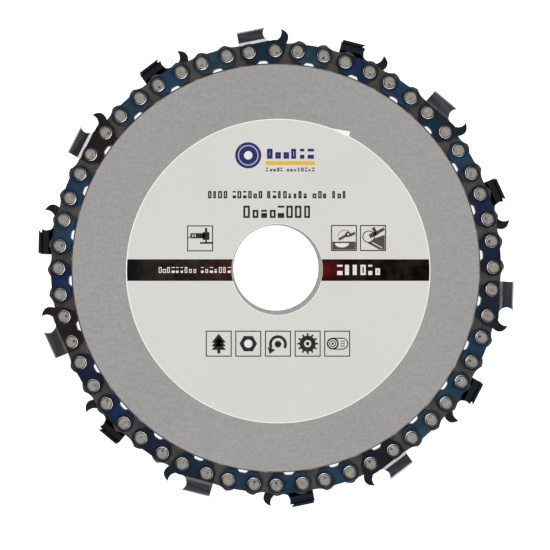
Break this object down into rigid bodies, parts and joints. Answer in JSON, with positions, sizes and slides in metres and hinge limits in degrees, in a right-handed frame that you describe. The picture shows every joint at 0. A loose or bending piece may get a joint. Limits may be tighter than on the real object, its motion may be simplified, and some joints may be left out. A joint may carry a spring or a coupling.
{
  "type": "angle grinder carving disc",
  "caption": "Flat steel disc with a central arbor bore and a closed loop of saw chain round its rim, for fast wood carving with an angle grinder.",
  "frame": {"origin": "centre of the arbor bore, half way through the thickness of the disc", "axes": "+Z along the disc's axis, out of the labelled face; +Y towards the top of the label; the disc lies flat in the XY plane"},
  "size_m": [0.1242, 0.1256, 0.0052],
  "materials": {
    "plate_steel": "satin rolled steel",
    "label_paper": "matte printed sticker",
    "blued_steel": "satin heat-blued steel",
    "cutter_steel": "satin black oxide steel",
    "drive_link_steel": "satin browned steel",
    "rivet_steel": "satin bare steel",
    "ground_steel": "bright ground edge"
  },
  "bodies": {
    "disc": {"front_plate": "plate_steel", "back_plate": "plate_steel", "spacer_disc": "plate_steel", "label": "label_paper"},
    "chain": {"tie_link_01": "blued_steel", "tie_link_02": "blued_steel", "tie_link_03": "blued_steel", "tie_link_04": "blued_steel", "tie_link_05": "blued_steel", "tie_link_06": "blued_steel", "tie_link_07": "blued_steel", "tie_link_08": "blued_steel", "tie_link_09": "blued_steel", "tie_link_10": "blued_steel", "tie_link_11": "blued_steel", "tie_link_12": "blued_steel", "tie_link_13": "blued_steel", "tie_link_14": "blued_steel", "front_cutter_link_01": "cutter_steel", "front_cutter_link_02": "cutter_steel", "front_cutter_link_03": "cutter_steel", "front_cutter_link_04": "cutter_steel", "front_cutter_link_05": "cutter_steel", "front_cutter_link_06": "cutter_steel", "front_cutter_link_07": "cutter_steel", "back_cutter_link_01": "cutter_steel", "back_cutter_link_02": "cutter_steel", "back_cutter_link_03": "cutter_steel", "back_cutter_link_04": "cutter_steel", "back_cutter_link_05": "cutter_steel", "back_cutter_link_06": "cutter_steel", "back_cutter_link_07": "cutter_steel", "drive_link_01": "drive_link_steel", "drive_link_02": "drive_link_steel", "drive_link_03": "drive_link_steel", "drive_link_04": "drive_link_steel", "drive_link_05": "drive_link_steel", "drive_link_06": "drive_link_steel", "drive_link_07": "drive_link_steel", "drive_link_08": "drive_link_steel", "drive_link_09": "drive_link_steel", "drive_link_10": "drive_link_steel", "drive_link_11": "drive_link_steel", "drive_link_12": "drive_link_steel", "drive_link_13": "drive_link_steel", "drive_link_14": "drive_link_steel", "drive_link_15": "drive_link_steel", "drive_link_16": "drive_link_steel", "drive_link_17": "drive_link_steel", "drive_link_18": "drive_link_steel", "drive_link_19": "drive_link_steel", "drive_link_20": "drive_link_steel", "drive_link_21": "drive_link_steel", "drive_link_22": "drive_link_steel", "drive_link_23": "drive_link_steel", "drive_link_24": "drive_link_steel", "drive_link_25": "drive_link_steel", "drive_link_26": "drive_link_steel", "drive_link_27": "drive_link_steel", "drive_link_28": "drive_link_steel"}
  },
  "joints": [
    {"name": "chain_slip", "type": "hinge", "parent": "disc", "child": "chain", "pos_m": [0, 0, 0], "axis": [0, 0, 1], "continuous": true}
  ]
}
